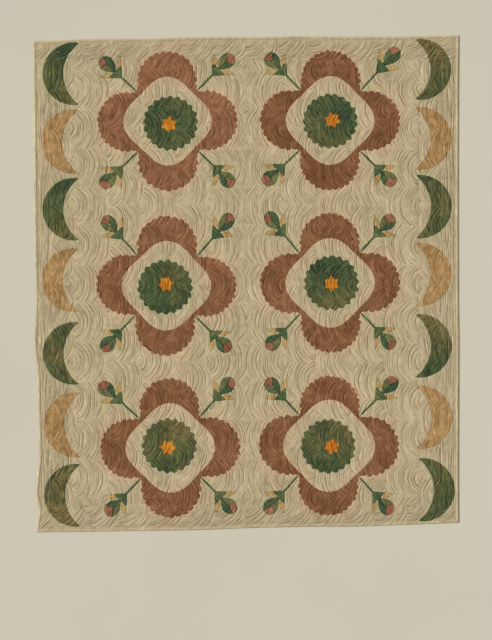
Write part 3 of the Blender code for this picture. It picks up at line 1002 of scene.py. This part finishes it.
patches = []
sewing = []
for number in range(1, 7):
    low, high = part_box(f"rose_{number}")
    middle = np.array(((low + high) / 2).xy)
    rose = Patch(*[rounded(loop) for loop in plate_loops(f"rose_{number}")])
    sun = Patch(rounded(bowed(plate_loops(f"sunburst_{number}")[0], SUN_BOW)))
    star = Patch(rounded(bowed(plate_loops(f"star_{number}")[0], STAR_BOW)))
    patches += [(rose, "rose"), (sun, "green")]
    sewing.append((f"rose_cloth_{number}", [rose], "rose_cloth", ROSE, f"rose_{number}", 0.0,
                   ROSE_FADES[number - 1]))
    sewing.append((f"sunburst_cloth_{number}", [sun], "green_cloth", GREEN,
                   f"sunburst_{number}", 0.0, SUN_FADES[number - 1]))
    sewing.append((f"star_cloth_{number}", [star], "orange_cloth", ORANGE,
                   f"star_{number}", CLOTH + REST_GAP, None))
    for quarter in ("ne", "nw", "sw", "se"):
        name = f"sprig_{number}_{quarter}"
        parts = sprig_patches(name, middle)
        patches.append((Patch(rounded(plate_loops(name)[0])), "green"))
        for part, (slot, material, fade) in SPRIG_PARTS.items():
            node = name if part == "stem" else None
            sewing.append((f"{part}_{number}_{quarter}", parts[part], slot, material, node, 0.0, fade))
for side in ("left", "right"):
    for number in range(1, 8):
        node = f"crescent_{side}_{number}"
        moon = Patch(rounded(plate_loops(node)[0]))
        green = number % 2 == 1
        patches.append((moon, "green" if green else None))
        sewing.append((f"{node}_cloth", [moon], "green_cloth" if green else "tan_cloth",
                       GREEN if green else TAN, node, 0.0, MOON_FADES.get(node)))

make_ground(patches, CREAM)
for piece in sewing:
    sew_on(*piece)


def make_binding(material):
    """Binding: a folded strip carried round all four edges.

    Its profile gives the share of the way from the quilt's edge to the seam, and the height.
    """
    profile = ((0.06, 0.0), (0.0, 0.0012), (0.0, 0.0032), (0.10, 0.0047), (0.30, 0.0057),
               (0.58, 0.0058), (0.82, 0.0052), (0.96, 0.0043), (1.0, 0.0034), (1.0, 0.0))
    bm = bmesh.new()
    painted_shade = bm.verts.layers.float.new("furrow")
    rings = []
    for share, height in profile:
        verts = []
        for x, y in bound_ring(share, 4):
            spot = Vector((x * RIPPLE_SCALE, y * RIPPLE_SCALE, share * 2))
            ripple = 1 + RIPPLE * noise.noise(spot)
            vert = bm.verts.new((x, y, height * ripple))
            # Painted shade along the binding's outer edge and its seam.
            vert[painted_shade] = 0.9 if share in (0, 1) else 0
            verts.append(vert)
        rings.append([bm.edges.new((a, b)) for a, b in zip(verts, verts[1:] + verts[:1])])
    for low, high in zip(rings, rings[1:] + rings[:1]):
        bmesh.ops.bridge_loops(bm, edges=low + high)
    bmesh.ops.recalc_face_normals(bm, faces=bm.faces[:])
    piece = finish_piece("binding_strip", bm, material)
    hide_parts("binding")


make_binding(BOUND)


# --- Stage -----------------------------------------------------------------------------------

FLOOR_REACH = 15
FLOOR_COLOUR = (206, 200, 180)
SHOWN_HEIGHT = 2.989            # of floor, from the top of the view to its foot
VIEW_MIDDLE = (-0.0007, -0.169)
LENS = 85
LAMP_TILT = (math.radians(-14), math.radians(-54), 0)
LAMP_SOFTNESS = math.radians(20)
LAMP_ENERGY = 3.3
SKY_LIGHT = 0.40


def make_stage():
    """Plain pale floor, soft light and a camera straight above."""
    bm = bmesh.new()
    bmesh.ops.create_grid(bm, x_segments=1, y_segments=1, size=FLOOR_REACH)
    mesh = bpy.data.meshes.new("floor")
    bm.to_mesh(mesh)
    bm.free()
    mesh.materials.append(paint_material("floor_paint", FLOOR_COLOUR))
    floor = bpy.data.objects.new("floor", mesh)
    bpy.context.scene.collection.objects.link(floor)
    world = bpy.data.worlds.new("studio")
    world.use_nodes = True
    sky = world.node_tree.nodes["Background"]
    sky.inputs["Color"].default_value = (1, 1, 1, 1)
    sky.inputs["Strength"].default_value = SKY_LIGHT
    bpy.context.scene.world = world
    lamp = bpy.data.lights.new("window_light", "SUN")
    lamp.energy = LAMP_ENERGY
    lamp.angle = LAMP_SOFTNESS
    sun = bpy.data.objects.new("window_light", lamp)
    sun.rotation_euler = LAMP_TILT
    bpy.context.scene.collection.objects.link(sun)
    view = bpy.data.cameras.new("camera")
    view.lens = LENS
    camera = bpy.data.objects.new("camera", view)
    camera.location = (*VIEW_MIDDLE, SHOWN_HEIGHT / 2 * view.lens / (view.sensor_width / 2))
    bpy.context.scene.collection.objects.link(camera)
    bpy.context.scene.camera = camera
    bpy.context.scene.view_settings.view_transform = "Standard"


make_stage()
